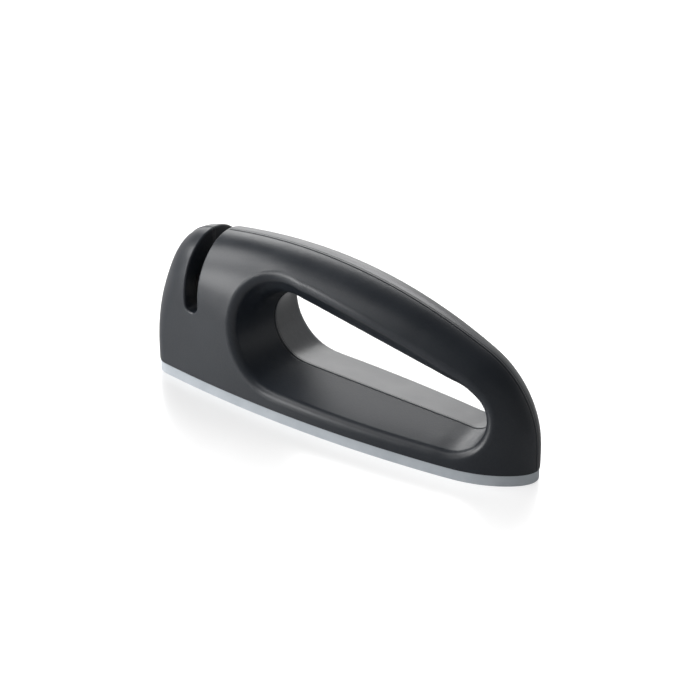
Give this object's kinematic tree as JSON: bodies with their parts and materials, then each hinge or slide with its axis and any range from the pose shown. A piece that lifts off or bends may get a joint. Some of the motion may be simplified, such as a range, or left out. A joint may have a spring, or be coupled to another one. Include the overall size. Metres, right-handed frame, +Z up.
{
  "type": "pull-through knife sharpener",
  "caption": "Hand-held pull-through knife sharpener: hollow black body with finger hole and blade slot, ceramic wheels in a V, grey non-slip sole.",
  "frame": {"origin": "on the table, under the middle of the body", "axes": "+Z up, +X from the head with the blade slot to the tail, Y across the body and along the path of the blade"},
  "size_m": [0.1901, 0.0492, 0.0712],
  "materials": {
    "body_plastic": "fine satin grain, anthracite black",
    "sole_rubber": "soft matt grey",
    "inner_plastic": "plain moulded",
    "guide_plastic": "plain moulded, black",
    "white_acetal": "smooth, low friction",
    "ceramic": "fine sintered ceramic",
    "steel": "bright zinc"
  },
  "bodies": {
    "housing": {"front_shell": "body_plastic", "rear_shell": "body_plastic", "shell_dowels": "inner_plastic", "base_plate": "inner_plastic", "base_sole": "sole_rubber", "base_screws": "steel", "cradle_screws": "steel", "wheel_cradle": "inner_plastic", "blade_guide": "guide_plastic", "wheel_axle": "steel", "wheel_spacer": "white_acetal", "thrust_washer_left": "white_acetal", "wave_washer_left": "steel", "axle_clip_left": "steel", "thrust_washer_right": "white_acetal", "wave_washer_right": "steel", "axle_clip_right": "steel"},
    "left_wheel": {"grinding_wheel_left": "ceramic", "wheel_bush_left": "white_acetal"},
    "right_wheel": {"grinding_wheel_right": "ceramic", "wheel_bush_right": "white_acetal"}
  },
  "joints": [
    {"name": "left_wheel_spin", "type": "hinge", "parent": "housing", "child": "left_wheel", "pos_m": [-0.0678, 0, 0.034], "axis": [1, 0, 0], "continuous": true},
    {"name": "right_wheel_spin", "type": "hinge", "parent": "housing", "child": "right_wheel", "pos_m": [-0.0678, 0, 0.034], "axis": [1, 0, 0], "continuous": true}
  ]
}
